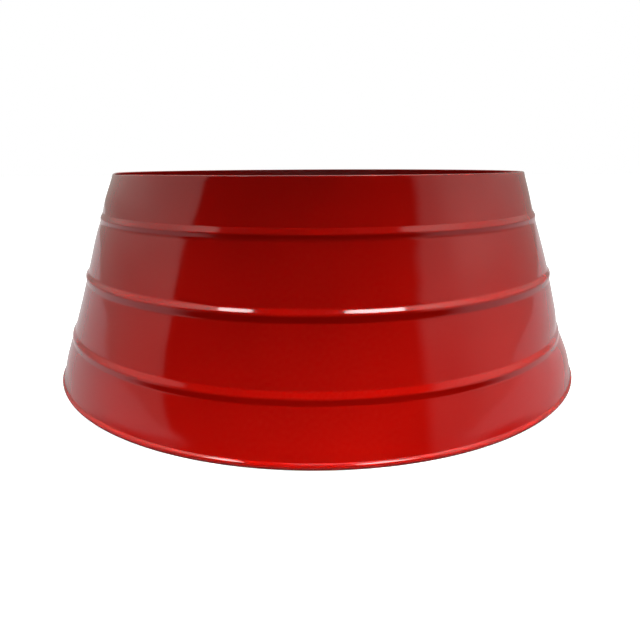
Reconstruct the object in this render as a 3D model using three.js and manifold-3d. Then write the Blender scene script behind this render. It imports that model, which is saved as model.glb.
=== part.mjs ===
// Sheet-steel collar that stands round the foot of a Christmas tree.
// Two half shells meet at the sides: a slanted butt hinge on the right, a hook on the left.
// Millimetres, +Z up, the front half faces -Y, the origin is the centre of the base.
import * as THREE from 'three';
import { mergeVertices } from 'three/addons/utils/BufferGeometryUtils.js';
import Module from 'manifold-3d';

const wasm = await Module();
wasm.setup();

// Collar body
const collarHeight = 203.2;
const baseRadius = 280; // over the rolled rim
const topRadius = 216; // over the top edge
const sheetThickness = 0.7;
const fitGap = 0.3; // clearance left between pieces that touch on the real collar

// Swaged beads, pressed outward all round
const beadHeightShares = [0.239, 0.526, 0.799];
const beadWidth = 13;
const beadRise = 1.1;

// Rolled rim at the base and folded hem at the top
const rimWireRadius = 1.5;
const rimProud = 1.4; // how far the rim stands out of the wall
const rimHollowRadius = 2; // of the hollow where the wall turns out into the rim
const topHemDepth = 7;
const topHemGap = 0.6;

// Hinges
const hingeBandShare = 0.86; // of the top band's height
const leafWidth = 18;
const leafThickness = 1;
const leafCorner = 3;
const pinRadius = 1.25;
const pinGap = 0.2;
const pinHeadOverhang = 0.7;
const pinHeadHeight = 0.9;
const leafRivetAcrossShare = 0.62; // of the leaf's width, out from the seam
const leafRivetAlongShare = 0.29; // of the leaf's length, either side of its middle

// Flat-head rivets through the sheet
const rivetRadius = 1.5;
const rivetHeadRadius = 2.9;
const rivetHeadHeight = 1.1;
const rivetTailRadius = 2.4;
const rivetTailHeight = 0.8;

// Strip behind the closing seam
const lapHalfWidth = 8;
const lapThickness = 0.7;
const lapRivetShare = 0.5; // of the strip's half width

// Hook that holds the closing seam
const latchBandShare = 0.3; // how far up its band the hook's pivot stands
const latchMargin = 2; // from the strip's edge to the pivot's formed tail
const hookStandOff = 0.9; // underside of the hook over the seam
const hookThickness = 1.2;
const hookEyeRadius = 5;
const hookArmHalfWidth = 3;
const hookEndRadius = 6;
const neckRadius = 2;
const neckHeadRadius = 4;
const neckHeadHeight = 1.4;
const neckTailRadius = 3;
const shoulderRadius = 3.8;

// How far every cut runs past what it cuts
const cutOverrun = 5;

// Counts and angles
const facetsAround = 56;
const beadSteps = 6;
const foldSteps = 4;
const barrelSides = 16;
const rivetSides = 10;
const wireSides = 8;
const plateSteps = 8;
const domeSteps = 2;
const quarterTurn = Math.PI / 2;
const identity = new THREE.Matrix4();
const halfFacet = Math.PI / facetsAround;
const rimStep = THREE.MathUtils.degToRad(45); // fits a whole number of times in a quarter turn
const rimCurl = THREE.MathUtils.degToRad(305);
const knuckleOwners = ['front', 'back', 'front'];

const redPaint = { color: 0xa01010, roughness: 0.25, metalness: 0.1 };
const zincPlate = { color: 0xb4b6b8, roughness: 0.35, metalness: 0.9 };
const bareWire = { color: 0x8a8c8e, roughness: 0.45, metalness: 0.9 };

// Section of one sheet, in radius and height: inward curl at the base, wall with beads, hem at the top

const curlMid = rimWireRadius + fitGap + sheetThickness / 2;
const curlOuter = curlMid + sheetThickness / 2;
const curlReach = curlOuter * Math.cos(rimStep / 2);
const curlCentre = new THREE.Vector2(baseRadius - curlReach, curlReach);
const foldMid = (topHemGap + sheetThickness) / 2;
const foldOuter = foldMid + sheetThickness / 2;
const foldCentre = new THREE.Vector2(topRadius - foldOuter, collarHeight - foldOuter);

// The wall's outer face is the line that leaves the rim proud of it and touches the fold
const wallReach = curlOuter - rimProud;
const span = foldCentre.clone().sub(curlCentre);
const wallLean = span.angle() - Math.acos((wallReach - foldOuter) / span.length());
const wallNormal = new THREE.Vector2(Math.cos(wallLean), Math.sin(wallLean));
const wallUp = new THREE.Vector2(-wallNormal.y, wallNormal.x);
const wallFoot = curlCentre.clone().addScaledVector(wallNormal, wallReach);

// Hollow that the wall runs into above the rim
const hollowTurn = Math.acos((wallReach + rimHollowRadius) / (curlOuter + rimHollowRadius));
const hollowCentre = wallFoot.clone()
  .addScaledVector(wallNormal, rimHollowRadius)
  .addScaledVector(wallUp, (curlOuter + rimHollowRadius) * Math.sin(hollowTurn));

// Point beside the outer face of the wall, offset along its normal
function wallPoint(height, offset) {
  const along = (height - wallFoot.y) / wallUp.y;
  return wallFoot.clone().addScaledVector(wallUp, along).addScaledVector(wallNormal, offset);
}

function onCircle(centre, radius, angle) {
  return new THREE.Vector2(centre.x + radius * Math.cos(angle), centre.y + radius * Math.sin(angle));
}

// Both faces of the sheet at one place on its path
function sheetFaces(centre, middle, angle, turn) {
  return {
    outer: onCircle(centre, middle + turn * sheetThickness / 2, angle),
    inner: onCircle(centre, middle - turn * sheetThickness / 2, angle),
  };
}

// From the curl's free end, under the wire and out, then up through the hollow to the wall
function rimFaces() {
  const start = wallLean + hollowTurn;
  const end = start - rimCurl;
  const angles = [start];
  for (let angle = rimStep / 2; angle > end + rimStep / 2; angle -= rimStep) angles.push(angle);
  angles.push(end);
  const curl = angles.map((angle) => sheetFaces(curlCentre, curlMid, angle, 1)).reverse();
  const hollow = [start - hollowTurn / 2, wallLean].map((angle) => (
    sheetFaces(hollowCentre, rimHollowRadius + sheetThickness / 2, angle + Math.PI, -1)
  ));
  return [...curl, ...hollow];
}

function beadFaces(height) {
  const faces = [];
  for (let step = 0; step <= beadSteps; step += 1) {
    const share = step / beadSteps;
    const turn = 2 * Math.PI * share;
    const rise = beadRise * (1 - Math.cos(turn)) / 2;
    const slope = beadRise * Math.PI / beadWidth * Math.sin(turn);
    const crest = wallPoint(height, rise).addScaledVector(wallUp, beadWidth * (share - 1 / 2));
    const back = wallNormal.clone().addScaledVector(wallUp, -slope).setLength(sheetThickness);
    faces.push({ outer: crest, inner: crest.clone().sub(back) });
  }
  return faces;
}

function hemFaces() {
  const faces = [];
  for (let step = 0; step <= foldSteps; step += 1) {
    faces.push(sheetFaces(foldCentre, foldMid, wallLean + Math.PI * step / foldSteps, 1));
  }
  const fold = faces[foldSteps];
  faces.push({
    outer: fold.outer.clone().addScaledVector(wallUp, -topHemDepth),
    inner: fold.inner.clone().addScaledVector(wallUp, -topHemDepth),
  });
  return faces;
}

const beadHeights = beadHeightShares.map((share) => share * collarHeight);

function sheetProfile() {
  const faces = [...rimFaces(), ...beadHeights.flatMap(beadFaces), ...hemFaces()];
  const outer = faces.map((face) => face.outer);
  const inner = faces.map((face) => face.inner).reverse();
  return [...outer, ...inner];
}

// Flat bands of wall that the beads leave, as heights
const beadReach = beadWidth / 2 * wallUp.y;
const hemFoot = foldCentre.y - topHemDepth * wallUp.y - foldOuter * wallNormal.y;
const hollowEnd = hollowCentre.y - rimHollowRadius * wallNormal.y;
const bandEnds = [
  hollowEnd,
  ...beadHeights.flatMap((height) => [height - beadReach, height + beadReach]),
  hemFoot - fitGap,
];
const bands = [];
for (let i = 0; i < bandEnds.length; i += 2) {
  bands.push({ low: bandEnds[i], high: bandEnds[i + 1], middle: (bandEnds[i] + bandEnds[i + 1]) / 2 });
}
const [baseBand, lowerBand, upperBand, topBand] = bands;

// Solids

function toSolid(geometry) {
  const bare = geometry.clone();
  bare.deleteAttribute('normal');
  bare.deleteAttribute('uv');
  const merged = mergeVertices(bare);
  return new wasm.Manifold(new wasm.Mesh({
    numProp: 3,
    vertProperties: new Float32Array(merged.attributes.position.array),
    triVerts: new Uint32Array(merged.index.array),
  }));
}

function toGeometry(solid) {
  const mesh = solid.getMesh();
  const geometry = new THREE.BufferGeometry();
  geometry.setAttribute('position', new THREE.BufferAttribute(new Float32Array(mesh.vertProperties), mesh.numProp));
  geometry.setIndex(new THREE.BufferAttribute(new Uint32Array(mesh.triVerts), 1));
  geometry.computeVertexNormals();
  return geometry;
}

// A closed outline, anticlockwise in radius and height, turned all the way round the collar
function ring(outline) {
  const geometry = new THREE.LatheGeometry([...outline, outline[0]], facetsAround);
  return toSolid(geometry.rotateX(quarterTurn));
}

function box(low, high) {
  const size = high.clone().sub(low);
  const middle = high.clone().add(low).divideScalar(2);
  return toSolid(new THREE.BoxGeometry(size.x, size.y, size.z).translate(middle.x, middle.y, middle.z));
}

// A flat plate of the given outline between two levels, moved by a place
function plate(shape, low, high, place) {
  const geometry = new THREE.ExtrudeGeometry(shape, {
    depth: high - low,
    bevelEnabled: false,
    curveSegments: plateSteps,
  });
  return toSolid(geometry.translate(0, 0, low).applyMatrix4(place));
}

// A round bar along the local Z of a place
function bar(radius, low, high, sides, place) {
  const geometry = new THREE.CylinderGeometry(radius, radius, high - low, sides);
  geometry.rotateX(quarterTurn).translate(0, 0, (low + high) / 2);
  return toSolid(geometry.applyMatrix4(place));
}

function joined(solids) {
  return solids.reduce((whole, solid) => whole.add(solid));
}

function cutAway(solid, tools) {
  return tools.reduce((rest, tool) => rest.subtract(tool), solid);
}

function named(name, geometry, finish) {
  const mesh = new THREE.Mesh(geometry, new THREE.MeshStandardMaterial(finish));
  mesh.name = name;
  return mesh;
}

// Places on the wall: local Z outward, local Y up the slant, local X anticlockwise from above

const hingeSeam = 0;
const closingSeam = Math.PI;
const facetLean = Math.atan(Math.tan(wallLean) * Math.cos(halfFacet));
const facetTurn = Math.asin(Math.cos(facetLean) * Math.sin(halfFacet));

function wallPlace(angle, radius, height, facing, lean) {
  const across = new THREE.Vector3(-Math.sin(facing), Math.cos(facing), 0);
  const outward = new THREE.Vector3(
    Math.cos(lean) * Math.cos(facing),
    Math.cos(lean) * Math.sin(facing),
    Math.sin(lean),
  );
  const place = new THREE.Matrix4().makeBasis(across, outward.clone().cross(across), outward);
  return place.setPosition(radius * Math.cos(angle), radius * Math.sin(angle), height);
}

// On a seam, square to the seam itself
function seamPlace(seam, height) {
  return wallPlace(seam, wallPoint(height, 0).x, height, seam, wallLean);
}

// At a distance along the wall from a seam, square to the facet there
function besideSeam(seam, half, distance, height) {
  const radius = wallPoint(height, 0).x;
  const anticlockwise = (seam === hingeSeam) === (half === 'back');
  const angle = seam + (anticlockwise ? 1 : -1) * distance / radius;
  const facing = (2 * Math.floor(angle / (2 * halfFacet)) + 1) * halfFacet;
  const reach = radius * Math.cos(halfFacet) / Math.cos(angle - facing);
  return wallPlace(angle, reach, height, facing, facetLean);
}

function moved(place, x, y, z) {
  return place.clone().multiply(new THREE.Matrix4().makeTranslation(x, y, z));
}

function placed(mesh, place) {
  mesh.applyMatrix4(place);
  return mesh;
}

// Rivets: a domed head outside, a shank and a formed tail inside

function dome(radius, base, rise) {
  const points = [];
  for (let step = 0; step <= domeSteps; step += 1) {
    const turn = quarterTurn * step / domeSteps;
    points.push(new THREE.Vector2(radius * Math.cos(turn), base + rise * Math.sin(turn)));
  }
  return points;
}

function pinGeometry(radius, tail, head, collars = []) {
  const points = [
    ...dome(tail.radius, tail.level, -tail.rise).reverse(),
    new THREE.Vector2(radius, tail.level),
    ...collars,
    new THREE.Vector2(radius, head.level),
    ...dome(head.radius, head.level, head.rise),
  ];
  return new THREE.LatheGeometry(points, rivetSides).rotateX(quarterTurn);
}

function rivet(name, headLevel, tailLevel, place) {
  const tail = { radius: rivetTailRadius, level: tailLevel, rise: rivetTailHeight };
  const head = { radius: rivetHeadRadius, level: headLevel, rise: rivetHeadHeight };
  return placed(named(name, pinGeometry(rivetRadius, tail, head), zincPlate), place);
}

function hole(radius, place) {
  return bar(radius + fitGap, -cutOverrun, cutOverrun, rivetSides, place);
}

// Two half shells, each with the wire that its rim is rolled around

const shellRing = ring(sheetProfile());
const wireRing = ring(circleOutline(curlCentre, rimWireRadius));

function circleOutline(centre, radius) {
  const points = [];
  for (let side = 0; side < wireSides; side += 1) {
    points.push(onCircle(centre, radius, 2 * Math.PI * (side + 1 / 2) / wireSides));
  }
  return points;
}

// All space on one half's side of the seams
function halfSpace(half) {
  const reach = baseRadius + cutOverrun;
  const near = half === 'back' ? fitGap : -reach;
  return box(
    new THREE.Vector3(-reach, near, -cutOverrun),
    new THREE.Vector3(reach, near + reach - fitGap, collarHeight + cutOverrun),
  );
}

// Hinges

const barrelRadius = pinRadius + pinGap + leafThickness;
const axisOffset = fitGap + barrelRadius;
const leafLength = hingeBandShare * (topBand.high - topBand.low) / wallUp.y;
const knuckleLength = leafLength / knuckleOwners.length;
const hingeHeights = { upper: topBand.middle, lower: baseBand.middle };
const leafRivetLevels = [fitGap + leafThickness + fitGap, -sheetThickness - fitGap];

// Ends of one knuckle's stretch of the pin, or of the gap that the other leaf's knuckle needs
function knuckleSpan(i, half) {
  const grow = (knuckleOwners[i] === half ? -1 : 1) * fitGap / 2;
  const low = i * knuckleLength - leafLength / 2;
  return {
    low: i === 0 ? low : low - grow,
    high: low + knuckleLength + (i === knuckleOwners.length - 1 ? 0 : grow),
  };
}

function leafOutline(half) {
  const side = half === 'back' ? 1 : -1;
  const end = leafLength / 2;
  const points = knuckleOwners.flatMap((owner, i) => {
    const edge = owner === half ? 0 : side * (barrelRadius + fitGap);
    const stretch = knuckleSpan(i, half);
    return [new THREE.Vector2(edge, stretch.low), new THREE.Vector2(edge, stretch.high)];
  });
  const shape = new THREE.Shape(points);
  shape.lineTo(side * (leafWidth - leafCorner), end);
  shape.quadraticCurveTo(side * leafWidth, end, side * leafWidth, end - leafCorner);
  shape.lineTo(side * leafWidth, leafCorner - end);
  shape.quadraticCurveTo(side * leafWidth, -end, side * (leafWidth - leafCorner), -end);
  return shape;
}

function leafRivetPlaces(half, height) {
  const rise = leafRivetAlongShare * leafLength * wallUp.y;
  const across = leafRivetAcrossShare * leafWidth;
  return [height - rise, height + rise].map((level) => besideSeam(hingeSeam, half, across, level));
}

function hingeAxis(height) {
  const alongSeam = new THREE.Matrix4().makeRotationX(-quarterTurn);
  return moved(seamPlace(hingeSeam, height), 0, 0, axisOffset).multiply(alongSeam);
}

// A leaf is cut from a sheet that lies along the wall, and curls round the pin at its knuckles
function leafGeometry(half, height) {
  const sheet = ring([
    wallPoint(height - leafLength, fitGap),
    wallPoint(height - leafLength, fitGap + leafThickness),
    wallPoint(height + leafLength, fitGap + leafThickness),
    wallPoint(height + leafLength, fitGap),
  ]);
  const outline = plate(leafOutline(half), -cutOverrun, cutOverrun, seamPlace(hingeSeam, height));
  const axis = hingeAxis(height);
  const barrels = knuckleOwners.flatMap((owner, i) => {
    const stretch = knuckleSpan(i, half);
    return owner === half ? [bar(barrelRadius, stretch.low, stretch.high, barrelSides, axis)] : [];
  });
  const bore = bar(pinRadius + pinGap, -leafLength, leafLength, barrelSides, axis);
  const holes = leafRivetPlaces(half, height).map((place) => hole(rivetRadius, place));
  return toGeometry(cutAway(joined([sheet.intersect(outline), ...barrels]), [bore, ...holes]));
}

function hingePin(name, height) {
  const end = leafLength / 2 + fitGap;
  const radius = pinRadius + pinHeadOverhang;
  const tail = { radius, level: -end, rise: pinHeadHeight };
  const head = { radius, level: end, rise: pinHeadHeight };
  return placed(named(name, pinGeometry(pinRadius, tail, head), zincPlate), hingeAxis(height));
}

// Strip riveted inside the front half, behind the closing seam

const lapFace = -sheetThickness - fitGap;
const lapBack = lapFace - lapThickness;
const lapRivetPlaces = [baseBand, lowerBand, topBand].map((band) => (
  besideSeam(closingSeam, 'front', lapRivetShare * lapHalfWidth, band.middle)
));

function lapGeometry() {
  const sheet = ring([
    wallPoint(baseBand.low, lapBack),
    wallPoint(baseBand.low, lapFace),
    wallPoint(topBand.high, lapFace),
    wallPoint(topBand.high, lapBack),
  ]);
  const width = box(
    new THREE.Vector3(-baseRadius, -lapHalfWidth, -cutOverrun),
    new THREE.Vector3(0, lapHalfWidth, collarHeight),
  );
  return toGeometry(cutAway(sheet.intersect(width), lapRivetPlaces.map((place) => hole(rivetRadius, place))));
}

// Hook on a shoulder rivet of the front half, over a matching stud on the back half

const latchReach = lapHalfWidth + latchMargin + neckTailRadius;
const latchHeight = upperBand.low + latchBandShare * (upperBand.high - upperBand.low);
const latchPlace = seamPlace(closingSeam, latchHeight);
const pivotPlace = moved(latchPlace, latchReach, 0, 0);
const studPlace = moved(latchPlace, -latchReach, 0, 0);
const hookLength = 2 * latchReach;

// The wall falls away from the seam, so the shoulder is deeper and the tail lies further in
function shoulderRivet(name, place) {
  const fall = Math.tan(facetTurn);
  const shoulderLow = fitGap - (latchReach - shoulderRadius) * fall;
  const tail = {
    radius: neckTailRadius,
    level: -sheetThickness - fitGap - (latchReach + neckTailRadius) * fall,
    rise: rivetTailHeight,
  };
  const head = {
    radius: neckHeadRadius,
    level: hookStandOff + hookThickness + fitGap,
    rise: neckHeadHeight,
  };
  const shoulder = [
    new THREE.Vector2(neckRadius, shoulderLow),
    new THREE.Vector2(shoulderRadius, shoulderLow),
    new THREE.Vector2(shoulderRadius, hookStandOff - fitGap),
    new THREE.Vector2(neckRadius, hookStandOff - fitGap),
  ];
  return placed(named(name, pinGeometry(neckRadius, tail, head, shoulder), zincPlate), place);
}

function disc(x, radius) {
  return new THREE.Shape().absarc(x, 0, radius, 0, 2 * Math.PI);
}

// The slot that the stud sweeps as the hook drops over it
function slotShape() {
  const half = neckRadius + fitGap;
  const sweep = Math.asin((hookEndRadius + cutOverrun) / hookLength);
  const shape = new THREE.Shape();
  shape.absarc(0, 0, hookLength + half, Math.PI, Math.PI + sweep);
  shape.absarc(0, 0, hookLength - half, Math.PI + sweep, Math.PI, true);
  return shape;
}

function hookGeometry() {
  const arm = new THREE.Shape([
    new THREE.Vector2(-hookLength, -hookArmHalfWidth),
    new THREE.Vector2(0, -hookArmHalfWidth),
    new THREE.Vector2(0, hookArmHalfWidth),
    new THREE.Vector2(-hookLength, hookArmHalfWidth),
  ]);
  const flat = (shape) => plate(shape, hookStandOff, hookStandOff + hookThickness, identity);
  const through = (shape) => plate(shape, -cutOverrun, hookThickness + cutOverrun, identity);
  const blank = joined([flat(disc(0, hookEyeRadius)), flat(arm), flat(disc(-hookLength, hookEndRadius))]);
  return toGeometry(cutAway(blank, [
    through(disc(0, neckRadius + fitGap)),
    through(disc(-hookLength, neckRadius + fitGap)),
    through(slotShape()),
  ]));
}

// Assembly: front half, back half and hook each move as one

const halves = { front: new THREE.Group(), back: new THREE.Group() };
const seatPlaces = {
  front: [...lapRivetPlaces.map((place) => hole(rivetRadius, place)), hole(neckRadius, pivotPlace)],
  back: [hole(neckRadius, studPlace)],
};

for (const half of ['front', 'back']) {
  const side = halfSpace(half);
  const leafHoles = Object.values(hingeHeights).flatMap((height) => (
    leafRivetPlaces(half, height).map((place) => hole(rivetRadius, place))
  ));
  const shell = cutAway(shellRing.intersect(side), [...leafHoles, ...seatPlaces[half]]);
  halves[half].add(
    named(`${half}_shell`, toGeometry(shell), redPaint),
    named(`${half}_rim_wire`, toGeometry(wireRing.intersect(side)), bareWire),
  );
  for (const [level, height] of Object.entries(hingeHeights)) {
    halves[half].add(named(`${level}_hinge_${half}_leaf`, leafGeometry(half, height), zincPlate));
    leafRivetPlaces(half, height).forEach((place, i) => {
      halves[half].add(rivet(`${level}_hinge_${half}_rivet_${i + 1}`, ...leafRivetLevels, place));
    });
  }
}

for (const [level, height] of Object.entries(hingeHeights)) {
  halves.front.add(hingePin(`${level}_hinge_pin`, height));
}

halves.front.add(named('lap_strip', lapGeometry(), redPaint), shoulderRivet('hook_pivot', pivotPlace));
lapRivetPlaces.forEach((place, i) => {
  halves.front.add(rivet(`lap_strip_rivet_${i + 1}`, fitGap, lapBack - fitGap, place));
});
halves.back.add(shoulderRivet('catch_stud', studPlace));

const hook = placed(named('latch_hook', hookGeometry(), zincPlate), pivotPlace);

const treeCollar = new THREE.Group();
treeCollar.add(halves.front, halves.back, hook);

export default treeCollar;
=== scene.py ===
import math

import bmesh
import bpy
import numpy as np
from mathutils import Matrix, Vector
from mathutils.geometry import tessellate_polygon


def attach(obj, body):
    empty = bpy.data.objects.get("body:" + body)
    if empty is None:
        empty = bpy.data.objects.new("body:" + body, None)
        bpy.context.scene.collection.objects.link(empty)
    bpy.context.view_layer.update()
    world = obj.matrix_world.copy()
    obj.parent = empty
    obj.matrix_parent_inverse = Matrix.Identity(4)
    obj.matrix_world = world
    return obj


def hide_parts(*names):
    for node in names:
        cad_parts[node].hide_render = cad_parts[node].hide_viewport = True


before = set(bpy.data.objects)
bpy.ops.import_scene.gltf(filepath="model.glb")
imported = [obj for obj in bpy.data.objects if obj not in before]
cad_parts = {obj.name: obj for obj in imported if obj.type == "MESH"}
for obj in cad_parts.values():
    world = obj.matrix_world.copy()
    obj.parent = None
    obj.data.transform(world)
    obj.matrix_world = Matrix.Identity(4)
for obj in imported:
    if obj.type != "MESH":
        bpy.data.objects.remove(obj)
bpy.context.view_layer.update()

mm = 0.001
degree = math.pi / 180
print("collar: frame loaded,", len(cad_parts), "solids")


# Shader trees

def addNode(tree, kind, settings=None, inputs=None):
    node = tree.nodes.new("ShaderNode" + kind)
    for key, value in (settings or {}).items():
        setattr(node, key, value)
    for key, value in (inputs or {}).items():
        socket = node.inputs[key]
        if isinstance(value, bpy.types.NodeSocket):
            tree.links.new(value, socket)
        else:
            socket.default_value = value
    return node


def doMath(tree, operation, *values):
    return addNode(tree, "Math", {"operation": operation}, dict(enumerate(values))).outputs[0]


def remap(tree, value, low, high, toLow=0.0, toHigh=1.0, smooth=False):
    kind = {"interpolation_type": "SMOOTHSTEP"} if smooth else {}
    inputs = {"Value": value, "From Min": low, "From Max": high, "To Min": toLow, "To Max": toHigh}
    return addNode(tree, "MapRange", kind, inputs).outputs["Result"]


def noise(tree, vector, scale, detail, roughness=0.5):
    inputs = {"Vector": vector, "Scale": scale, "Detail": detail, "Roughness": roughness}
    return addNode(tree, "TexNoise", {}, inputs).outputs["Fac"]


# Mix names its number and colour sockets alike, so they go by place
def mixNumber(tree, share, first, second):
    return addNode(tree, "Mix", {}, {0: share, 2: first, 3: second}).outputs[0]


def mixColour(tree, share, first, second):
    return addNode(tree, "Mix", {"data_type": "RGBA"}, {0: share, 6: first, 7: second}).outputs[2]


def mixShader(tree, share, first, second):
    return addNode(tree, "MixShader", {}, {0: share, 1: first.outputs[0], 2: second.outputs[0]})


def newMaterial(name, shader):
    material = bpy.data.materials.new(name)
    material.use_nodes = True
    tree = material.node_tree
    surface = tree.nodes["Principled BSDF"]
    for key, value in shader.items():
        surface.inputs[key].default_value = value
    return material, tree, surface, addNode(tree, "TexCoord").outputs["Object"]


# How a noise clouds the colour, unsettles the gloss and raises the surface
noiseSpan = {"colour": (0.35, 0.65), "gloss": (0.3, 0.7)}


def cloudColour(tree, surface, cloud, first, second):
    share = remap(tree, cloud, *noiseSpan["colour"])
    tree.links.new(mixColour(tree, share, first, second), surface.inputs["Base Color"])


def unevenGloss(tree, surface, haze, roughness):
    tree.links.new(remap(tree, haze, *noiseSpan["gloss"], *roughness), surface.inputs["Roughness"])


def relief(tree, height, depth, under=None):
    inputs = {"Strength": 1.0, "Distance": depth, "Height": height}
    if under is not None:
        inputs["Normal"] = under
    return addNode(tree, "Bump", {}, inputs).outputs[0]


# Gloss red enamel over sheet steel: a wet, even coat with a faint orange peel
enamel = {
    "deep": (0.40, 0.0026, 0.0008, 1),
    "bright": (0.46, 0.0034, 0.0012, 1),
    "cloud": {"scale": 7.0, "detail": 3.0},
    "haze": {"scale": 63.0, "detail": 4.0, "roughness": 0.6},
    "roughness": (0.05, 0.09),
    "ripple": {"scale": 38.0, "detail": 1.0},
    "rippleDepth": 2.5e-5,
    "peel": {"scale": 320.0, "detail": 1.0},
    "peelDepth": 3.0e-6,
}


def makeEnamel():
    material, tree, surface, place = newMaterial("redEnamel", {"Metallic": 0.0, "IOR": 1.5})
    cloudColour(tree, surface, noise(tree, place, **enamel["cloud"]), enamel["deep"], enamel["bright"])
    unevenGloss(tree, surface, noise(tree, place, **enamel["haze"]), enamel["roughness"])
    ripple = relief(tree, noise(tree, place, **enamel["ripple"]), enamel["rippleDepth"])
    peel = relief(tree, noise(tree, place, **enamel["peel"]), enamel["peelDepth"], ripple)
    tree.links.new(peel, surface.inputs["Normal"])
    return material


# Zinc plate on hinges, rivets and hook: pale, slightly clouded, with fine rolling lines
zinc = {
    "dull": (0.50, 0.51, 0.52, 1),
    "clean": (0.66, 0.67, 0.69, 1),
    "cloud": {"scale": 160.0, "detail": 4.0, "roughness": 0.6},
    "stretch": (900.0, 900.0, 60.0),
    "lines": {"scale": 1.0, "detail": 3.0},
    "lineDepth": 4.0e-6,
    "roughness": (0.26, 0.42),
}


def makeZinc():
    material, tree, surface, place = newMaterial("zincPlate", {"Metallic": 1.0})
    cloudColour(tree, surface, noise(tree, place, **zinc["cloud"]), zinc["dull"], zinc["clean"])
    stretched = addNode(tree, "Mapping", {}, {"Vector": place, "Scale": zinc["stretch"]}).outputs[0]
    lines = noise(tree, stretched, **zinc["lines"])
    unevenGloss(tree, surface, lines, zinc["roughness"])
    tree.links.new(relief(tree, lines, zinc["lineDepth"]), surface.inputs["Normal"])
    return material


# Bare drawn wire inside the rolled rim
drawnWire = {
    "dark": (0.22, 0.22, 0.23, 1),
    "light": (0.40, 0.40, 0.41, 1),
    "cloud": {"scale": 400.0, "detail": 5.0, "roughness": 0.65},
    "roughness": (0.38, 0.55),
    "grainDepth": 6.0e-6,
}


def makeWire():
    material, tree, surface, place = newMaterial("bareWire", {"Metallic": 1.0})
    cloud = noise(tree, place, **drawnWire["cloud"])
    cloudColour(tree, surface, cloud, drawnWire["dark"], drawnWire["light"])
    unevenGloss(tree, surface, cloud, drawnWire["roughness"])
    tree.links.new(relief(tree, cloud, drawnWire["grainDepth"]), surface.inputs["Normal"])
    return material


redEnamel, zincPlate, bareWire = makeEnamel(), makeZinc(), makeWire()
print("collar: materials made")


# Meshes, all drawn in millimetres. A piece given an edge is bevelled by it. The others are shaded
# smooth, and sharp where they turn by more than the sharp angle.
meshes = {"sharpAngle": 32, "bevelAngle": 40, "bevelSteps": 2, "turnedSides": 36}


def addPiece(name, form, body, nodes, material, place=None, edge=None):
    points, faces = form
    place = place or Matrix.Identity(4)
    mesh = bpy.data.meshes.new(name)
    mesh.from_pydata([(place @ Vector(p)) * mm for p in points], [], faces)
    work = bmesh.new()
    work.from_mesh(mesh)
    bmesh.ops.delete(work, geom=[v for v in work.verts if not v.link_faces], context="VERTS")
    bmesh.ops.recalc_face_normals(work, faces=work.faces)
    work.to_mesh(mesh)
    work.free()
    mesh.shade_smooth()
    mesh.materials.append(material)
    piece = bpy.data.objects.new(name, mesh)
    bpy.context.scene.collection.objects.link(piece)
    if edge:
        bevel = piece.modifiers.new("edge", "BEVEL")
        bevel.width = edge * mm
        bevel.segments = meshes["bevelSteps"]
        bevel.limit_method = "ANGLE"
        bevel.angle_limit = meshes["bevelAngle"] * degree
        bevel.harden_normals = True
    else:
        mesh.set_sharp_from_angle(angle=meshes["sharpAngle"] * degree)
    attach(piece, body)
    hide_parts(*nodes)


# Two faces of a sheet, rows by columns of points, closed round every edge. Keep says which of the
# cells between the points are there.
def thickSheet(outer, inner, keep=None):
    rows, columns = outer.shape[:2]
    if keep is None:
        keep = np.ones((rows - 1, columns - 1), bool)
    around = np.pad(keep, 1)
    behind = rows * columns
    faces = []
    for i, j in np.argwhere(keep).tolist():
        near = [i * columns + j, i * columns + j + 1, (i + 1) * columns + j + 1, (i + 1) * columns + j]
        faces.append(near)
        faces.append([behind + v for v in reversed(near)])
        beside = [around[i, j + 1], around[i + 1, j + 2], around[i + 2, j + 1], around[i + 1, j]]
        for side, there in enumerate(beside):
            if not there:
                a, b = near[side], near[(side + 1) % 4]
                faces.append([b, a, behind + a, behind + b])
    points = np.concatenate([outer.reshape(-1, 3), inner.reshape(-1, 3)]).tolist()
    return points, faces


# A profile of radius and level turned round local Z, from axis to axis
def turned(profile):
    sides = meshes["turnedSides"]
    ends = [profile[0], profile[-1]]
    middle = profile[1:-1]
    turns = [2 * math.pi * k / sides for k in range(sides)]
    points = [(r * math.cos(t), r * math.sin(t), level) for r, level in middle for t in turns]
    points += [(0, 0, level) for _, level in ends]
    first, last = len(points) - 2, len(points) - 1
    faces = []
    for k in range(sides):
        n = (k + 1) % sides
        faces.append([first, n, k])
        for ring in range(len(middle) - 1):
            low, high = ring * sides, (ring + 1) * sides
            faces.append([low + k, low + n, high + n, high + k])
        top = (len(middle) - 1) * sides
        faces.append([last, top + k, top + n])
    return points, faces


# A flat plate with holes between two levels
def flatPlate(outline, holes, low, high):
    loops = [outline, *holes]
    flat = [p for loop in loops for p in loop]
    triangles = tessellate_polygon([[Vector((x, y, 0)) for x, y in loop] for loop in loops])
    count = len(flat)
    points = [(x, y, low) for x, y in flat] + [(x, y, high) for x, y in flat]
    faces = [list(reversed(t)) for t in triangles] + [[v + count for v in t] for t in triangles]
    start = 0
    for loop in loops:
        for k in range(len(loop)):
            a, b = start + k, start + (k + 1) % len(loop)
            faces.append([a, b, b + count, a + count])
        start += len(loop)
    return points, faces


def onCircle(centre, radius, angle):
    return np.array(centre) + radius * np.array((math.cos(angle), math.sin(angle)))


def ease(share):
    share = np.clip(share, 0, 1)
    return share * share * (3 - 2 * share)


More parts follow.
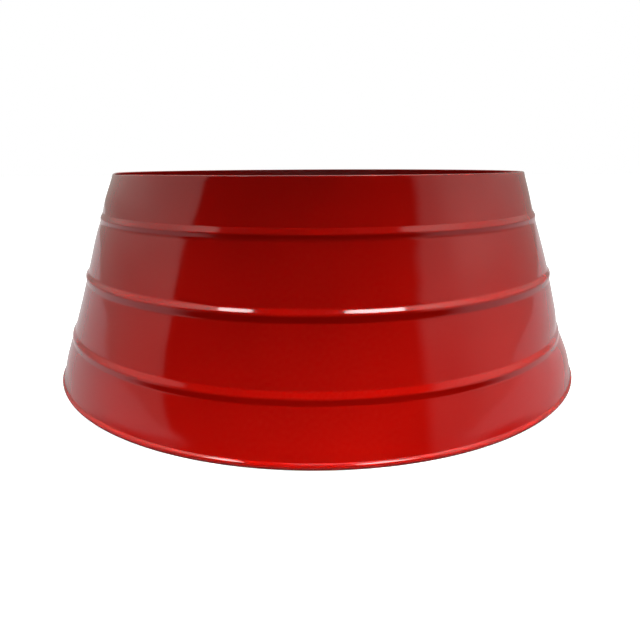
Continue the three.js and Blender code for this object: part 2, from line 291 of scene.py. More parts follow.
# The collar's sheet, as a section in radius and height. It keeps the solids' sizes, with finer curves,
# a shoulder above the rim, and beads that each have their own form.
collar = {
    "height": 203.2,
    "baseRadius": 280.0,
    "topRadius": 216.0,
    "sheet": 0.7,
    "gap": 0.3,  # clearance left between pieces that touch on the real collar
    "beadHeights": (48.57, 106.88, 162.36),
    "beadWidth": 13.0,
    "beadSteps": 22,
    "slopeSteps": 400,  # finer steps, in which a bead's slope is summed
    "wireRadius": 1.5,
    "wireSides": 16,
    "rimProud": 1.4,
    "solidHollow": 2.0,  # radius of the hollow above the rim in the solids
    "hollowRadius": 1.0,  # and the tighter one here, below which a straight shoulder runs to the rim
    "hollowSteps": 12,
    "shoulderTurn": 33,
    "curlTurn": 305,
    "curlSteps": 34,
    "hemDepth": 7.0,
    "hemGap": 0.6,
    "foldSteps": 14,
    "flapShares": (0.3, 0.65, 1.0),
    "bandSteps": 10,
    "columnTurn": 1.5,
}
sheet = collar["sheet"]
curlMid = collar["wireRadius"] + collar["gap"] + sheet / 2
curlOuter = curlMid + sheet / 2
curlCentre = np.array((collar["baseRadius"] - curlOuter, curlOuter))
foldMid = (collar["hemGap"] + sheet) / 2
foldOuter = foldMid + sheet / 2
foldCentre = np.array((collar["topRadius"] - foldOuter, collar["height"] - foldOuter))

# The wall's outer face is the line that leaves the rim proud of it and touches the fold
span = foldCentre - curlCentre
wallReach = curlOuter - collar["rimProud"]
wallLean = math.atan2(span[1], span[0]) - math.acos((wallReach - foldOuter) / math.hypot(*span))
wallNormal = np.array((math.cos(wallLean), math.sin(wallLean)))
wallUp = np.array((-wallNormal[1], wallNormal[0]))
wallFoot = curlCentre + wallNormal * wallReach

# The sheet leaves the rim by the shoulder, and the hollow turns it into the wall
hollowRadius = collar["hollowRadius"]
shoulderTurn = collar["shoulderTurn"] * degree
turnReach = curlOuter + hollowRadius
shoulder = (turnReach * math.cos(shoulderTurn) - hollowRadius - wallReach) / math.sin(shoulderTurn)
hollowRun = turnReach * math.sin(shoulderTurn) + shoulder * math.cos(shoulderTurn)
hollowCentre = wallFoot + wallNormal * hollowRadius + wallUp * hollowRun


# Place on the wall's outer face by height, or off it along its normal
def wallPoint(height, offset=0.0):
    return wallFoot + wallUp * (height - wallFoot[1]) / wallUp[1] + wallNormal * offset


# Slow dents that rolling leaves in thin sheet, between the beads, which hold it true, and larger bends
# that pull it off its true cone. Each bend has its angle anticlockwise from the hinge seam and the
# spread of it, its height and the spread of that, and its depth, positive outward.
dents = {
    "depth": 0.16,
    "counts": (9, 14, 23),
    "weights": (1.0, 0.8, 0.35),
    "waveTurn": 2.1,
    "bandTurn": 1.9,
    "seamFade": 40.0,
    "bends": (
        (-154, 12, 208, 17, -3.8),
        (-154, 12, 163, 8, -1.5),
        (-156, 18, 22, 24, 2.4),
        (-26, 14, 114, 30, 1.8),
        (-26, 12, 50, 8, -2.2),
        (-26, 13, 20, 14, 2.4),
    ),
}


# Band is the number of a flat band, and share how far up it a place lies: 0 where the sheet has no dents
def dentDepth(angles, radius, height, band=0, share=0.0):
    fade = np.clip(radius * np.abs(np.sin(angles)) / dents["seamFade"], 0, 1) ** 2
    wave = sum(
        weight * np.sin(count * angles + band * dents["bandTurn"] * (k + 1) + dents["waveTurn"] * k)
        for k, (count, weight) in enumerate(zip(dents["counts"], dents["weights"]))
    )
    turns = angles / degree
    bend = sum(
        depth * np.exp(-((turns - middle) / spread) ** 2 / 2 - ((height - level) / reach) ** 2 / 2)
        for middle, spread, level, reach, depth in dents["bends"]
    )
    return (dents["depth"] * wave * math.sin(math.pi * share) ** 2 + bend) * fade


# Each bead as it was pressed, lowest first: how far its crest lies below the middle, its rise, the widths
# of its lower and upper flanks, and the shares of these that the fillets at the feet and the crest take
pressed = (
    {"drop": -0.5, "rise": 1.2, "widths": (6.3, 6.8), "feet": (0.42, 0.40), "crest": 0.20},
    {"drop": 0.6, "rise": 1.65, "widths": (7.4, 6.2), "feet": (0.42, 0.45), "crest": 0.20},
    {"drop": 0.5, "rise": 1.15, "widths": (6.5, 5.6), "feet": (0.70, 0.17), "crest": 0.12},
)


# Places across a bead from its lower foot to its upper: distance from the crest, height and slope
def beadSection(bead):
    fine = np.linspace(0, 1, collar["slopeSteps"] + 1)
    inward = np.linspace(0, 1, collar["beadSteps"] + 1)
    flanks = []
    for width, foot, sense in zip(bead["widths"], bead["feet"], (-1, 1)):
        slope = ease(fine / foot) * ease((1 - fine) / bead["crest"])
        climb = np.concatenate([[0], np.cumsum((slope[1:] + slope[:-1]) / 2)])
        climb *= bead["rise"] / climb[-1]
        tilt = -sense * np.interp(inward, fine, np.gradient(climb, fine * width))
        flanks.append(np.stack([sense * width * (1 - inward), np.interp(inward, fine, climb), tilt], 1))
    return np.concatenate([flanks[0], flanks[1][-2::-1]])


def bothFaces(centre, outer, inner, angle):
    return onCircle(centre, outer, angle), onCircle(centre, inner, angle)


# Both faces of the sheet from the curl's free end to the edge of the hem's flap, with the band and the
# share of it for each place
def sheetPath():
    rows = []
    startTurn = wallLean + shoulderTurn
    steps = collar["curlSteps"]
    for k in range(steps, -1, -1):
        angle = startTurn - collar["curlTurn"] * degree * k / steps
        rows.append((*bothFaces(curlCentre, curlMid + sheet / 2, curlMid - sheet / 2, angle), 0, 0.0))
    steps = collar["hollowSteps"]
    for k in range(steps + 1):
        angle = startTurn - shoulderTurn * k / steps + math.pi
        rows.append((*bothFaces(hollowCentre, hollowRadius, hollowRadius + sheet, angle), 0, 0.0))
    alongs = [(h - wallFoot[1]) / wallUp[1] - b["drop"] for h, b in zip(collar["beadHeights"], pressed)]
    wallEnd = float(np.dot(foldCentre - wallFoot, wallUp))
    low = hollowRun
    for band, middle in enumerate([*alongs, None]):
        high = wallEnd if middle is None else middle - pressed[band]["widths"][0]
        for k in range(1, collar["bandSteps"]):
            share = k / collar["bandSteps"]
            face = wallFoot + wallUp * (low + (high - low) * share)
            rows.append((face, face - wallNormal * sheet, band, share))
        if middle is None:
            break
        for u, height, tilt in beadSection(pressed[band]):
            face = wallFoot + wallUp * (middle + u) + wallNormal * height
            normal = (wallNormal - wallUp * tilt) / math.hypot(1, tilt)
            rows.append((face, face - normal * sheet, band, 0.0))
        low = middle + pressed[band]["widths"][1]
    for k in range(collar["foldSteps"] + 1):
        angle = wallLean + math.pi * k / collar["foldSteps"]
        faces = bothFaces(foldCentre, foldMid + sheet / 2, foldMid - sheet / 2, angle)
        rows.append((*faces, 0, 0.0))
    for share in collar["flapShares"]:
        drop = -wallUp * collar["hemDepth"] * share
        rows.append((faces[0] + drop, faces[1] + drop, 0, 0.0))
    return rows


# Angles round the collar from the hinge seam to the closing seam, for points at one radius. The back
# half runs anticlockwise seen from above.
senseOf = {"front": -1, "back": 1}


def columnAngles(half, radius):
    step = collar["columnTurn"]
    even = np.arange(step, 180, step) * degree
    gap = math.asin(collar["gap"] / radius)
    return senseOf[half] * np.concatenate([[gap], even, [math.pi - gap]])


# Points round the collar, pushed out along the wall's normal by a depth at each
def roundCollar(radius, height, angles, depth):
    r, z = radius + wallNormal[0] * depth, height + wallNormal[1] * depth
    return np.stack([r * np.cos(angles), r * np.sin(angles), z], 1)


def shellForm(half):
    rows = sheetPath()
    grids = []
    for face in (0, 1):
        grid = []
        for row in rows:
            radius, height = row[face]
            angles = columnAngles(half, radius)
            grid.append(roundCollar(radius, height, angles, dentDepth(angles, radius, row[0][1], *row[2:])))
        grids.append(np.array(grid))
    return thickSheet(*grids)


for half in ("front", "back"):
    addPiece(half + "Shell", shellForm(half), half + "_half", [half + "_shell"], redEnamel)
print("collar: shells made")


# Wire that each rim is rolled round, and that bends with it
def wireForm(half):
    sides = collar["wireSides"]
    loops = []
    for k in range(sides):
        radius, height = onCircle(curlCentre, collar["wireRadius"], 2 * math.pi * k / sides)
        angles = columnAngles(half, radius)
        loops.append(roundCollar(radius, height, angles, dentDepth(angles, *curlCentre)))
    points = np.array(loops)
    columns = points.shape[1]
    faces = []
    for k in range(sides):
        here, there = k * columns, (k + 1) % sides * columns
        faces += [[here + j, there + j, there + j + 1, here + j + 1] for j in range(columns - 1)]
    faces.append([k * columns for k in range(sides)])
    faces.append([k * columns + columns - 1 for k in reversed(range(sides))])
    return points.reshape(-1, 3).tolist(), faces


for half in ("front", "back"):
    addPiece(half + "RimWire", wireForm(half), half + "_half", [half + "_rim_wire"], bareWire)
print("collar: rim wires made")


# Places on the wall: local Z outward, local Y up the slant, local X anticlockwise from above
hingeSeam = 0
closingSeam = math.pi


def wallPlace(angle, height):
    across = Vector((-math.sin(angle), math.cos(angle), 0))
    outward = Vector((wallNormal[0] * math.cos(angle), wallNormal[0] * math.sin(angle), wallNormal[1]))
    slant = outward.cross(across)
    radius = wallPoint(height)[0]
    origin = Vector((radius * math.cos(angle), radius * math.sin(angle), height))
    return Matrix.Translation(origin) @ Matrix((across, slant, outward)).transposed().to_4x4()


def besideSeam(seam, half, distance, height):
    sense = senseOf[half] if seam == hingeSeam else -senseOf[half]
    return wallPlace(seam + sense * distance / wallPoint(height)[0], height)


# Flat bands of wall between the rim, the beads and the hem, as heights in the solids
def hollowTop():
    radius = collar["solidHollow"]
    turn = math.acos((wallReach + radius) / (curlOuter + radius))
    return (wallFoot + wallUp * (curlOuter + radius) * math.sin(turn))[1]


def middleOf(band):
    return (band[0] + band[1]) / 2


beadReach = collar["beadWidth"] / 2 * wallUp[1]
hemFoot = foldCentre[1] - collar["hemDepth"] * wallUp[1] - foldOuter * wallNormal[1]
bandEnds = [hollowTop()]
for height in collar["beadHeights"]:
    bandEnds += [height - beadReach, height + beadReach]
bandEnds.append(hemFoot - collar["gap"])
baseBand, lowerBand, upperBand, topBand = zip(bandEnds[::2], bandEnds[1::2])

# Butt hinges on the right seam: leaves rolled round a headed pin
hinge = {
    "leafWidth": 18.0,
    "leafThickness": 1.0,
    "leafCorner": 3.0,
    "cornerSteps": 6,
    "bandShare": 0.86,
    "pinRadius": 1.25,
    "pinGap": 0.2,
    "headOverhang": 0.7,
    "headHeight": 0.9,
    "rivetAcross": 0.62,
    "rivetAlong": 0.29,
    "curlTurn": 288,
    "curlSteps": 22,
    "jogFrom": 4.6,  # over this stretch, out from the pin, the leaf drops on to the sheet
    "jogTo": 2.4,
    "rootPlaces": (0.0, 1.4, 2.4),  # rows of points out from the pin, as far as the knuckles' gaps
    "flatPlaces": (3.1, 3.6, 4.1, 4.6, 7, 9.5, 12, 14),  # and past them
    "edge": 0.16,
}
barrelRadius = hinge["pinRadius"] + hinge["pinGap"] + hinge["leafThickness"]
axisOffset = collar["gap"] + barrelRadius
leafLength = hinge["bandShare"] * (topBand[1] - topBand[0]) / wallUp[1]
hingeHeights = {"upper": middleOf(topBand), "lower": middleOf(baseBand)}
knuckleOwners = ("front", "back", "front")


# Cross section of a leaf: the roll round the pin, then the flat part out to its edge, and the number
# of rows before the knuckles' gaps end
def leafSection(curvature):
    thick, corner = hinge["leafThickness"], hinge["leafCorner"]
    rows = []
    steps = hinge["curlSteps"]
    for k in range(steps, 0, -1):
        angle = -math.pi / 2 - hinge["curlTurn"] * degree * k / steps
        rows.append(bothFaces((0, axisOffset), barrelRadius - thick, barrelRadius, angle))
    places = [*hinge["rootPlaces"], barrelRadius + collar["gap"], *hinge["flatPlaces"]]
    for k in range(hinge["cornerSteps"] + 1):
        turn = math.pi / 2 * k / hinge["cornerSteps"]
        places.append(hinge["leafWidth"] - corner + corner * math.sin(turn))
    for x in places:
        jog = ease((hinge["jogFrom"] - x) / (hinge["jogFrom"] - hinge["jogTo"]))
        under = collar["gap"] * jog - x * x * curvature / 2
        rows.append([np.array((x, under + thick)), np.array((x, under))])
    return rows, steps + len(hinge["rootPlaces"])


def leafForm(half, height):
    rows, gapRows = leafSection(wallNormal[0] / wallPoint(height)[0])
    corner, end = hinge["leafCorner"], leafLength / 2
    clear = collar["gap"] / 2 if half == "front" else -collar["gap"] / 2
    reach = leafLength / len(knuckleOwners) / 2 + clear
    levels = [-end, -(reach + end) / 2, -reach, 0, reach, (reach + end) / 2, end]  # two cells a knuckle
    grids = []
    for face in (0, 1):
        grid = []
        for row in rows:
            x, z = row[face]
            past = min(max(x - (hinge["leafWidth"] - corner), 0), corner)
            halfLength = end - corner + math.sqrt(corner * corner - past * past)
            grid.append([(senseOf[half] * x, level * halfLength / end, z) for level in levels])
        grids.append(np.array(grid))
    keep = np.ones((len(rows) - 1, len(levels) - 1), bool)
    for k, owner in enumerate(knuckleOwners):
        if owner != half:
            keep[:gapRows, 2 * k:2 * k + 2] = False
    return thickSheet(*grids, keep)


# Heads and formed tails of rivets and pins: an upright lip, then a dome
heads = {"lip": 0.18, "domeSteps": 7}


def dome(radius, level, height):
    steps = heads["domeSteps"]
    turns = [math.pi / 2 * k / steps for k in range(steps + 1)]
    return [(radius * math.cos(t), level + height * math.sin(t)) for t in turns]


# Headed pin along local Z, with a dome at both ends. Each end has a radius, a level and a height.
def headedPin(radius, tail, head, collars=()):
    tailRadius, tailLevel, tailHeight = tail
    headRadius, headLevel, headHeight = head
    lip = heads["lip"]
    bottom = dome(tailRadius, tailLevel - lip, lip - tailHeight)[::-1]
    top = dome(headRadius, headLevel + lip, headHeight - lip)
    bottom[0], top[-1] = (0, bottom[0][1]), (0, top[-1][1])
    return [*bottom, (tailRadius, tailLevel), (radius, tailLevel), *collars,
            (radius, headLevel), (headRadius, headLevel), *top]


rivet = {"radius": 1.5, "headRadius": 2.9, "headHeight": 1.1, "tailRadius": 2.4, "tailHeight": 0.8}


def rivetForm(headLevel, tailLevel):
    tail = (rivet["tailRadius"], tailLevel, rivet["tailHeight"])
    head = (rivet["headRadius"], headLevel, rivet["headHeight"])
    return turned(headedPin(rivet["radius"], tail, head))


for level, height in hingeHeights.items():
    seam = wallPlace(hingeSeam, height)
    along = hinge["rivetAlong"] * leafLength * wallUp[1]
    across = hinge["rivetAcross"] * hinge["leafWidth"]
    for half in ("front", "back"):
        name, node, body = f"{level}Hinge{half.title()}", f"{level}_hinge_{half}", half + "_half"
        addPiece(name + "Leaf", leafForm(half, height), body, [node + "_leaf"], zincPlate,
                 seam, hinge["edge"])
        for k, shift in enumerate((-along, along), 1):
            addPiece(f"{name}Rivet{k}", rivetForm(hinge["leafThickness"], -sheet), body,
                     [f"{node}_rivet_{k}"], zincPlate, besideSeam(hingeSeam, half, across, height + shift))
    end = leafLength / 2 + collar["gap"]
    headRadius = hinge["pinRadius"] + hinge["headOverhang"]
    pin = turned(headedPin(hinge["pinRadius"], (headRadius, -end, hinge["headHeight"]),
                           (headRadius, end, hinge["headHeight"])))
    axis = seam @ Matrix.Translation((0, 0, axisOffset)) @ Matrix.Rotation(-math.pi / 2, 4, "X")
    addPiece(level + "HingePin", pin, "front_half", [level + "_hinge_pin"], zincPlate, axis)
print("collar: hinges made")


# Strip riveted inside the front half, behind the closing seam
strip = {
    "halfWidth": 8.0,
    "thickness": 0.7,
    "rivetShare": 0.5,
    "corner": 2.5,
    "cornerSteps": 5,
    "rows": 14,
    "columns": 9,
    "edge": 0.12,
}
stripFace = -sheet - collar["gap"]
stripBack = stripFace - strip["thickness"]


def stripForm():
    low, high = baseBand[0], topBand[1]
    corner, width, steps = strip["corner"], strip["halfWidth"], strip["cornerSteps"]
    rounding = [corner * (1 - math.cos(math.pi / 2 * k / steps)) for k in range(steps + 1)]
    between = np.linspace(low, high, strip["rows"])[1:-1]
    heights = [*(low + r for r in rounding), *between, *(high - r for r in reversed(rounding))]
    grids = []
    for offset in (stripFace, stripBack):
        grid = []
        for height in heights:
            past = corner - min(height - low, high - height, corner)
            reach = width - corner + math.sqrt(max(corner * corner - past * past, 0))
            radius, z = wallPoint(height, offset)
            ys = np.linspace(-reach, reach, strip["columns"])
            grid.append(np.stack([-np.sqrt(radius * radius - ys * ys), ys, z + 0 * ys], 1))
        grids.append(np.array(grid))
    return thickSheet(*grids)


addPiece("lapStrip", stripForm(), "front_half", ["lap_strip"], redEnamel, edge=strip["edge"])
for k, band in enumerate((baseBand, lowerBand, topBand), 1):
    place = besideSeam(closingSeam, "front", strip["rivetShare"] * strip["halfWidth"], middleOf(band))
    addPiece(f"lapStripRivet{k}", rivetForm(0, stripBack), "front_half", [f"lap_strip_rivet_{k}"],
             zincPlate, place)
print("collar: strip made")


# Hook across the closing seam, on a shoulder rivet, over a stud like it
latch = {
    "bandShare": 0.3,
    "reach": 13.0,
    "standOff": 0.9,
    "thickness": 1.2,
    "eyeRadius": 5.0,
    "armHalfWidth": 3.0,
    "endRadius": 6.0,
    "fillet": 4.0,
    "neckRadius": 2.0,
    "headRadius": 4.0,
    "headHeight": 1.4,
    "tailRadius": 3.0,
    "tailHeight": 0.8,
    "tailGap": 0.1,
    "shoulderRadius": 3.8,
    "steps": {"eye": 28, "fillet": 5, "below": 7, "slot": 6, "slotTop": 12, "beyond": 24, "hole": 24},
    "leastStep": 0.02,
    "edge": 0.18,
}
hookLength = 2 * latch["reach"]
latchHeight = upperBand[0] + latch["bandShare"] * (upperBand[1] - upperBand[0])
latchPlace = wallPlace(closingSeam, latchHeight)
hookPlace, studPlace = [latchPlace @ Matrix.Translation((side * latch["reach"], 0, 0)) for side in (1, -1)]
neckFit = latch["neckRadius"] + collar["gap"]


def arc(centre, radius, start, end, steps):
    turns = np.linspace(start, end, steps + 1)
    return [(centre[0] + radius * math.cos(t), centre[1] + radius * math.sin(t)) for t in turns]


# Where a fillet between the arm and a round end meets that end, and how far along the arm it lies
def filletJoin(radius):
    side, reach = latch["armHalfWidth"] + latch["fillet"], radius + latch["fillet"]
    return math.asin(side / reach), math.sqrt(reach ** 2 - side ** 2)


# Where the slot's side at one radius from the pivot leaves the round end, about the pivot and the end
def slotTurns(radius):
    x = -(hookLength ** 2 + radius ** 2 - latch["endRadius"] ** 2) / (2 * hookLength)
    y = -math.sqrt(radius ** 2 - x ** 2)
    return math.atan2(y, x), math.atan2(y, x + hookLength)


# Points round the hook's plate, with a slot that the stud sweeps as the hook drops over it
def hookOutline():
    arm, eye, end, fillet = (latch[k] for k in ("armHalfWidth", "eyeRadius", "endRadius", "fillet"))
    steps, pivot, stud = latch["steps"], (0, 0), (-hookLength, 0)
    eyeTurn, eyeShift = filletJoin(eye)
    endTurn, endShift = filletJoin(end)
    innerTurn, innerEnd = slotTurns(hookLength - neckFit)
    outerTurn, outerEnd = slotTurns(hookLength + neckFit)
    nearFillet = arc((-eyeShift, -arm - fillet), fillet, eyeTurn, math.pi / 2, steps["fillet"])
    farCentre = (endShift - hookLength, -arm - fillet)
    farFillet = arc(farCentre, fillet, math.pi / 2, math.pi - endTurn, steps["fillet"])
    loop = [
        *arc(pivot, eye, math.pi - eyeTurn, eyeTurn - math.pi, steps["eye"]),
        *nearFillet,
        *farFillet,
        *arc(stud, end, -endTurn, innerEnd, steps["below"]),
        *arc(pivot, hookLength - neckFit, innerTurn, -math.pi, steps["slot"]),
        *arc(stud, neckFit, 0, math.pi, steps["slotTop"]),
        *arc(pivot, hookLength + neckFit, -math.pi, outerTurn, steps["slot"]),
        *arc(stud, end, outerEnd, endTurn - 2 * math.pi, steps["beyond"]),
        *[(x, -y) for x, y in [*nearFillet, *farFillet]][::-1],
    ]
    kept = [loop[0]]
    for point in loop[1:]:
        if math.dist(point, kept[-1]) > latch["leastStep"]:
            kept.append(point)
    return kept if math.dist(kept[0], kept[-1]) > latch["leastStep"] else kept[:-1]


hole = arc((0, 0), neckFit, 0, 2 * math.pi, latch["steps"]["hole"])[:-1]
hookForm = flatPlate(hookOutline(), [hole], latch["standOff"], latch["standOff"] + latch["thickness"])
addPiece("latchHook", hookForm, "hook", ["latch_hook"], zincPlate, hookPlace, latch["edge"])


# The wall falls away from the seam, so each shoulder reaches down to it
def shoulderRivetForm():
    fall = latch["reach"] / wallPoint(latchHeight)[0] * wallNormal[0]
    low = -(latch["reach"] + latch["shoulderRadius"]) * fall / 2
    high = latch["standOff"] - collar["gap"]
    tailLevel = -sheet - latch["reach"] * fall / 2 - latch["tailGap"]
    headLevel = latch["standOff"] + latch["thickness"] + collar["gap"]
    neck, shoulderRadius = latch["neckRadius"], latch["shoulderRadius"]
    collars = [(neck, low), (shoulderRadius, low), (shoulderRadius, high), (neck, high)]
    tail = (latch["tailRadius"], tailLevel, latch["tailHeight"])
    head = (latch["headRadius"], headLevel, latch["headHeight"])
    return turned(headedPin(neck, tail, head, collars))


addPiece("hookPivot", shoulderRivetForm(), "front_half", ["hook_pivot"], zincPlate, hookPlace)
addPiece("catchStud", shoulderRivetForm(), "back_half", ["catch_stud"], zincPlate, studPlace)
print("collar: latch made")


# Bearings in the studio are in degrees from the front, positive to the right as the camera sees it

def bearingOf(tree, axes):
    return doMath(tree, "ARCTAN2", axes[0], doMath(tree, "MULTIPLY", axes[1], -1.0))


def grey(value):
    return (value, value, value, 1)


# White floor, which the camera sees as white with the collar's soft shadow. To every other ray it is no lit
# floor but a painted glow,
# which the enamel mirrors and is lit by: grey beside the collar, and dark in front of it but for a faint
# glow close to the rim.
# Under the collar it is a plain grey floor.
floorLook = {
    "reach": 9.0,
    "seenColour": 0.80,
    "seenGlow": 0.82,
    "plainColour": 0.25,
    "sideGlow": 0.68,
    "sideFrom": (43.0, 57.0),  # bearings, either way, over which the grey sets in
    "ringFrom": (0.27, 0.30),  # distances from the middle, under the rim, where the mirrored floor starts
    "nearGlow": 0.25,
    "nearTo": (0.31, 0.38),  # and over which the glow in front fades
}


def makeFloor():
    material = bpy.data.materials.new("paleFloor")
    material.use_nodes = True
    tree = material.node_tree
    tree.nodes.remove(tree.nodes["Principled BSDF"])
    white = addNode(tree, "BsdfDiffuse", {}, {"Color": grey(floorLook["seenColour"])})
    glow = addNode(tree, "Emission", {}, {"Color": grey(1), "Strength": floorLook["seenGlow"]})
    seen = addNode(tree, "AddShader", {}, {0: white.outputs[0], 1: glow.outputs[0]})
    place = addNode(tree, "TexCoord").outputs["Object"]
    axes = addNode(tree, "SeparateXYZ", {}, {0: place}).outputs
    fromFront = doMath(tree, "ABSOLUTE", bearingOf(tree, axes))
    low, high = floorLook["sideFrom"]
    beside = remap(tree, fromFront, low * degree, high * degree, smooth=True)
    distance = addNode(tree, "VectorMath", {"operation": "LENGTH"}, {0: place}).outputs["Value"]
    outside = remap(tree, distance, *floorLook["ringFrom"], smooth=True)
    near = remap(tree, distance, *floorLook["nearTo"], floorLook["nearGlow"], 0.0, smooth=True)
    ahead = doMath(tree, "MULTIPLY", doMath(tree, "SUBTRACT", 1.0, beside), near)
    strength = doMath(tree, "MULTIPLY_ADD", beside, floorLook["sideGlow"], ahead)
    # The painted glow, set by bearing and distance, that the enamel mirrors and that lights it
    mirrored = addNode(tree, "Emission", {}, {"Color": grey(1), "Strength": strength})
    under = addNode(tree, "BsdfDiffuse", {}, {"Color": grey(floorLook["plainColour"])})
    unseen = mixShader(tree, outside, under, mirrored)
    both = mixShader(tree, addNode(tree, "LightPath").outputs["Is Camera Ray"], unseen, seen)
    tree.links.new(both.outputs[0], tree.nodes["Material Output"].inputs["Surface"])
    reach = floorLook["reach"]
    mesh = bpy.data.meshes.new("floor")
    corners = [(-reach, -reach, 0), (reach, -reach, 0), (reach, reach, 0), (-reach, reach, 0)]
    mesh.from_pydata(corners, [], [(0, 1, 2, 3)])
    mesh.materials.append(material)
    floor = bpy.data.objects.new("floor", mesh)
    bpy.context.scene.collection.objects.link(floor)


makeFloor()


# The room that the enamel mirrors: pale sides and back, and a dark sector behind the camera, whose two
# edges shift outward with elevation. Ring is strength by bearing, climb is strength by elevation, and
# the shifts are degrees by elevation.
room = {
    "ring": ((-180, 0.7), (-140, 0.78), (-105, 0.8), (-85, 0.8), (-62, 0.78),
             (50, 0.62), (62, 0.66), (74, 1.0), (86, 0.98), (100, 0.82), (120, 0.75), (180, 0.7)),
    "climb": ((-90, 0.5), (-2, 0.5), (8, 0.62), (16, 1.0), (28, 0.95), (34, 1.0), (40, 1.5), (45, 1.8),
              (49, 2.6), (54, 2.6), (60, 0.8), (90, 0.4)),
    "colour": (1.0, 0.98, 0.9, 1.0),
    "darkFrom": (-60.0, -57.0),
    "leftShift": ((-90, 0), (-1, 0), (2.5, 6), (5, 9.5), (10, 10), (15.5, 12), (19, 9.5), (23, 6.5),
                  (27, 4), (90, 4)),
    "darkTo": (41.0, 49.0),
    "rightShift": ((-90, 0), (2, 0), (6, 1.3), (13, 1.5), (16, 2.5), (19, 3.5), (22, 7), (25, 8.5),
                   (27, 9.5), (90, 9.5)),
    "dark": 0.018,
    "backdrop": 1.0,
}


# Straight lines between points, each an angle in degrees and what the curve gives there
def curveOf(tree, value, points):
    low, high = points[0][0], points[-1][0]
    node = addNode(tree, "FloatCurve", {}, {"Value": remap(tree, value, low * degree, high * degree)})
    curve = node.mapping.curves[0]
    top = max(height for _, height in points)
    for k, (angle, height) in enumerate(points):
        at = ((angle - low) / (high - low), height / top)
        if k < len(curve.points):
            curve.points[k].location = at
        else:
            curve.points.new(*at)
    for point in curve.points:
        point.handle_type = "VECTOR"
    node.mapping.update()
    return doMath(tree, "MULTIPLY", node.outputs[0], top)


def makeWorld():
    world = bpy.data.worlds.new("studio")
    bpy.context.scene.world = world
    world.use_nodes = True
    tree = world.node_tree
    tree.nodes.clear()
    toward = addNode(tree, "TexCoord").outputs["Generated"]
    axes = addNode(tree, "SeparateXYZ", {}, {0: toward}).outputs
    bearing = bearingOf(tree, axes)
    elevation = doMath(tree, "ARCSINE", axes[2])
    ring = curveOf(tree, bearing, room["ring"])
    climb = curveOf(tree, elevation, room["climb"])
    pale = doMath(tree, "MULTIPLY", ring, climb)
    leftShift = doMath(tree, "MULTIPLY", curveOf(tree, elevation, room["leftShift"]), degree)
    rightShift = doMath(tree, "MULTIPLY", curveOf(tree, elevation, room["rightShift"]), degree)
    darkFrom, darkTo = ([edge * degree for edge in room[key]] for key in ("darkFrom", "darkTo"))
    fromLeft = remap(tree, doMath(tree, "ADD", bearing, leftShift), *darkFrom, smooth=True)
    toRight = remap(tree, doMath(tree, "SUBTRACT", bearing, rightShift), *darkTo, 1.0, 0.0, smooth=True)
    dark = doMath(tree, "MULTIPLY", fromLeft, toRight)
    strength = mixNumber(tree, dark, pale, room["dark"])
    unseen = addNode(tree, "Background", {}, {"Color": room["colour"], "Strength": strength})
    seen = addNode(tree, "Background", {}, {"Color": grey(1), "Strength": room["backdrop"]})
    both = mixShader(tree, addNode(tree, "LightPath").outputs["Is Camera Ray"], unseen, seen)
    tree.links.new(both.outputs[0], addNode(tree, "OutputWorld").inputs["Surface"])


makeWorld()

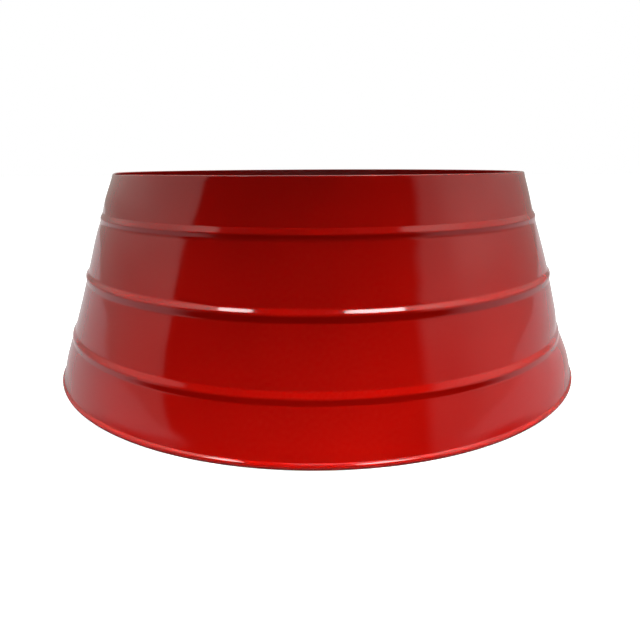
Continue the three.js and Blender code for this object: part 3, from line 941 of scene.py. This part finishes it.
# Steep narrow beams from the front light the wall more toward its foot, and one lamp fills the back.
# Each aims at the floor, as many metres out from the middle as its aim says. The softboxes and the
# ceiling are only mirrored, and aim at the middle.
lampsFrom = Vector((0, -0.2, 0.1))
middlePoint = Vector((0, 0, 0.1))
beam = {
    "shape": "RECTANGLE", "distance": 1.4, "size": (0.25, 0.25), "spread": 24, "tilt": 0,
    "mirrored": False,
}
softbox = {"shape": "ELLIPSE", "distance": 6.0, "spread": 180, "aim": None, "mirrored": True}
lamps = {
    "rightBeam": {**beam, "bearing": 40, "elevation": 74, "watts": 1.40, "aim": 0.48},
    "middleRightBeam": {**beam, "bearing": 15, "elevation": 70, "watts": 0.70, "aim": 0.48},
    "middleLeftBeam": {**beam, "bearing": -10, "elevation": 68, "watts": 0.76, "aim": 0.48},
    "leftBeam": {**beam, "bearing": -35, "elevation": 73, "watts": 1.52, "aim": 0.53},
    "backFill": {
        **beam, "bearing": 180, "elevation": 40, "watts": 2.4, "aim": 0.2,
        "distance": 2.2, "size": (0.9, 0.9), "spread": 60,
    },
    "leftSoftbox": {
        **softbox, "bearing": -55.5, "elevation": 54.3, "watts": 25, "size": (1.37, 0.47), "tilt": 30,
    },
    "rightSoftbox": {
        **softbox, "bearing": 41, "elevation": 58.2, "watts": 51, "size": (2.33, 0.47), "tilt": -23,
    },
    "ceiling": {
        **softbox, "bearing": 0, "elevation": 90, "watts": 31, "size": (2.8, 2.8), "tilt": 0,
        "distance": 3.0,
    },
}


def addLamp(name, lamp):
    light = bpy.data.lights.new(name, "AREA")
    light.shape = lamp["shape"]
    light.size, light.size_y = lamp["size"]
    light.energy = lamp["watts"]
    light.spread = lamp["spread"] * degree
    item = bpy.data.objects.new(name, light)
    turn, climb = lamp["bearing"] * degree, lamp["elevation"] * degree
    ahead = Vector((math.sin(turn), -math.cos(turn), 0))
    toward = ahead * math.cos(climb) + Vector((0, 0, math.sin(climb)))
    item.location = lampsFrom + lamp["distance"] * toward
    aim = middlePoint if lamp["aim"] is None else ahead * lamp["aim"]
    tilt = Matrix.Rotation(lamp["tilt"] * degree, 3, "Z").to_quaternion()
    item.rotation_mode = "QUATERNION"
    item.rotation_quaternion = (aim - item.location).to_track_quat("-Z", "Y") @ tilt
    item.visible_camera = False
    item.visible_glossy = lamp["mirrored"]
    item.visible_diffuse = not lamp["mirrored"]
    bpy.context.scene.collection.objects.link(item)


for name, lamp in lamps.items():
    addLamp(name, lamp)
print("collar: studio made")


# Camera where the photograph was taken from
view = {
    "place": (0.0, -0.6145, 0.2112),
    "pitch": 16.335,
    "turn": 0.2464,
    "roll": 0.2412,
    "lens": 29.985,
    "sensor": 36.0,
    "nearest": 0.01,
}
camera = bpy.data.objects.new("camera", bpy.data.cameras.new("camera"))
camera.data.lens = view["lens"]
camera.data.sensor_width = view["sensor"]
camera.data.clip_start = view["nearest"]
camera.matrix_world = (
    Matrix.Translation(view["place"])
    @ Matrix.Rotation(-view["turn"] * degree, 4, "Z")
    @ Matrix.Rotation((90 - view["pitch"]) * degree, 4, "X")
    @ Matrix.Rotation(-view["roll"] * degree, 4, "Z")
)
bpy.context.scene.collection.objects.link(camera)
bpy.context.scene.camera = camera
bpy.context.scene.view_settings.view_transform = "Standard"
print("collar: camera placed")

print("collar: ready")
